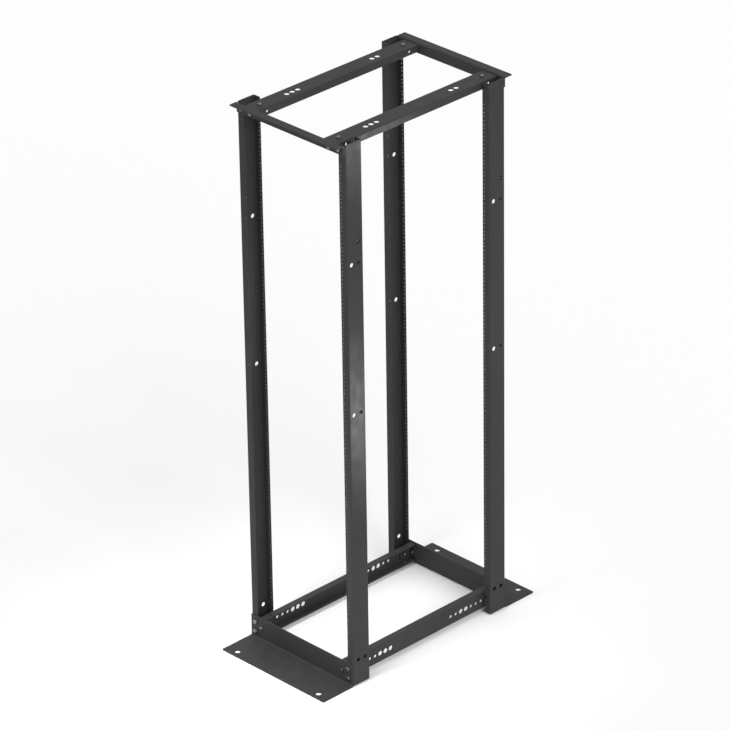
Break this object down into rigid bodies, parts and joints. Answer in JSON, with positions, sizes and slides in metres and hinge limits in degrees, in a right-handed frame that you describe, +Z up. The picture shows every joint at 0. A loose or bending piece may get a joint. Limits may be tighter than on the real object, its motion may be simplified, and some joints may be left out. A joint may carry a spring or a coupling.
{
  "type": "network server rack frame",
  "caption": "Open steel rack frame: channel posts joined by angles and side rails, with wide anchor feet and rack screw holes in the post flanges.",
  "frame": {"origin": "on the floor, in the middle of the rack's footprint", "axes": "+Z up, +X to the right across the rack, +Y from the front to the rear"},
  "size_m": [0.5144, 1.0484, 2.0703],
  "materials": {
    "powder_coat": "satin dark grey powder coat",
    "zinc": "dull zinc plate"
  },
  "bodies": {
    "root": {"post_front_left": "powder_coat", "post_front_right": "powder_coat", "post_rear_left": "powder_coat", "post_rear_right": "powder_coat", "base_angle_front": "powder_coat", "base_angle_rear": "powder_coat", "bottom_rail_left": "powder_coat", "bottom_rail_right": "powder_coat", "top_angle_front": "powder_coat", "top_angle_rear": "powder_coat", "top_rail_left": "powder_coat", "top_rail_right": "powder_coat", "clip_bottom_front_left": "powder_coat", "clip_bottom_front_right": "powder_coat", "clip_bottom_rear_left": "powder_coat", "clip_bottom_rear_right": "powder_coat", "clip_top_front_left": "powder_coat", "clip_top_front_right": "powder_coat", "clip_top_rear_left": "powder_coat", "clip_top_rear_right": "powder_coat", "base_bolts": "zinc", "base_washers": "zinc", "base_nuts": "zinc", "top_bolts": "zinc", "top_nuts": "zinc", "clip_angle_bolts": "zinc", "clip_angle_nuts": "zinc", "clip_rail_bolts": "zinc", "clip_rail_nuts": "zinc"}
  },
  "joints": []
}
